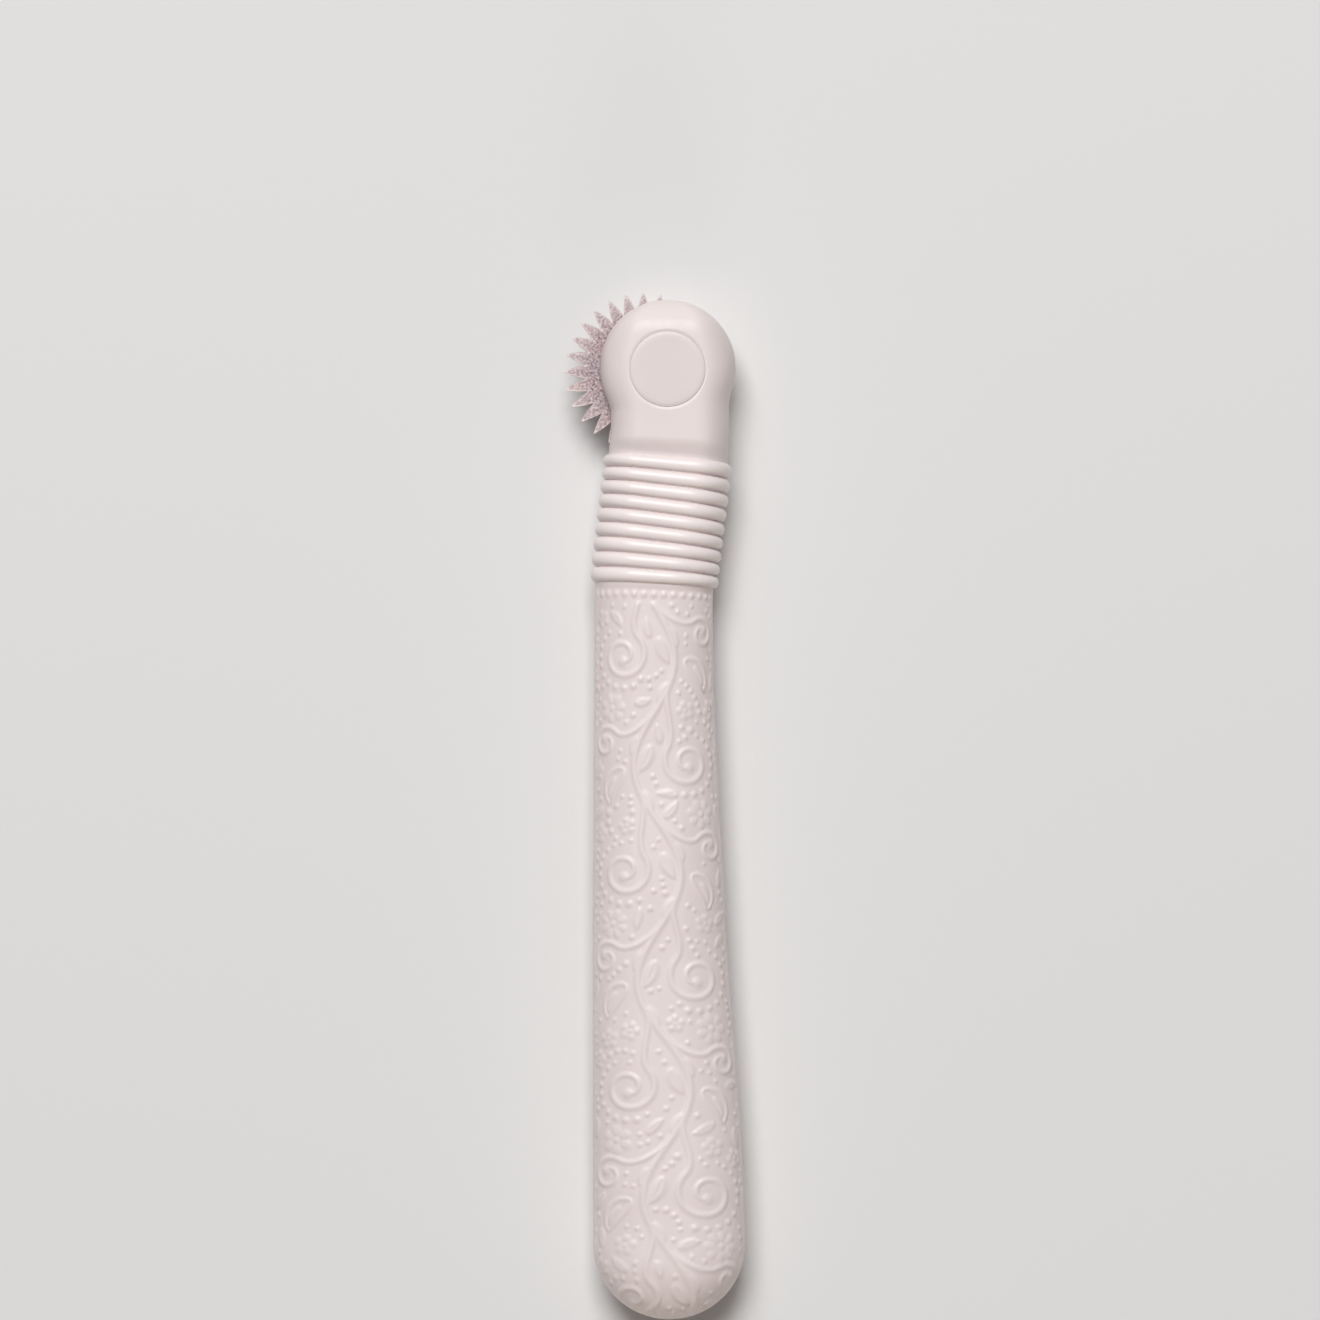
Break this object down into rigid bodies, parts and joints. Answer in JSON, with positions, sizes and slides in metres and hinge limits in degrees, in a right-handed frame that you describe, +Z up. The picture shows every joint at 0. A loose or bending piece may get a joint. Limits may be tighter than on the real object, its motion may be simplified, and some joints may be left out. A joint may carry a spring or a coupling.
{
  "type": "marking wheel",
  "caption": "Hand-held marking wheel: a toothed steel wheel spins in the slotted round head of a bowed, ridged plastic handle made of two shells.",
  "frame": {"origin": "centre of the rear cap's flat face, on the plane that the tool lies on", "axes": "+Y along the handle towards the head, +Z up along the wheel's axis and out of the front cheek, +X away from the toothed side"},
  "size_m": [0.0247, 0.1405, 0.013],
  "materials": {
    "shell_plastic": "satin, warm pinkish white",
    "cap_plastic": "satin, warm pinkish white",
    "wheel_steel": "plated, fine grained",
    "bush_brass": "turned",
    "axle_steel": "ground"
  },
  "bodies": {
    "handle": {"front_shell": "shell_plastic", "rear_shell": "shell_plastic", "front_cap": "cap_plastic", "rear_cap": "cap_plastic", "axle_pin": "axle_steel", "front_washer": "axle_steel", "rear_washer": "axle_steel"},
    "wheel": {"marking_wheel": "wheel_steel", "wheel_bush": "bush_brass"}
  },
  "joints": [
    {"name": "wheel_spin", "type": "hinge", "parent": "handle", "child": "wheel", "pos_m": [-0.0033, 0, 0.0065], "axis": [0, 0, 1], "continuous": true}
  ]
}
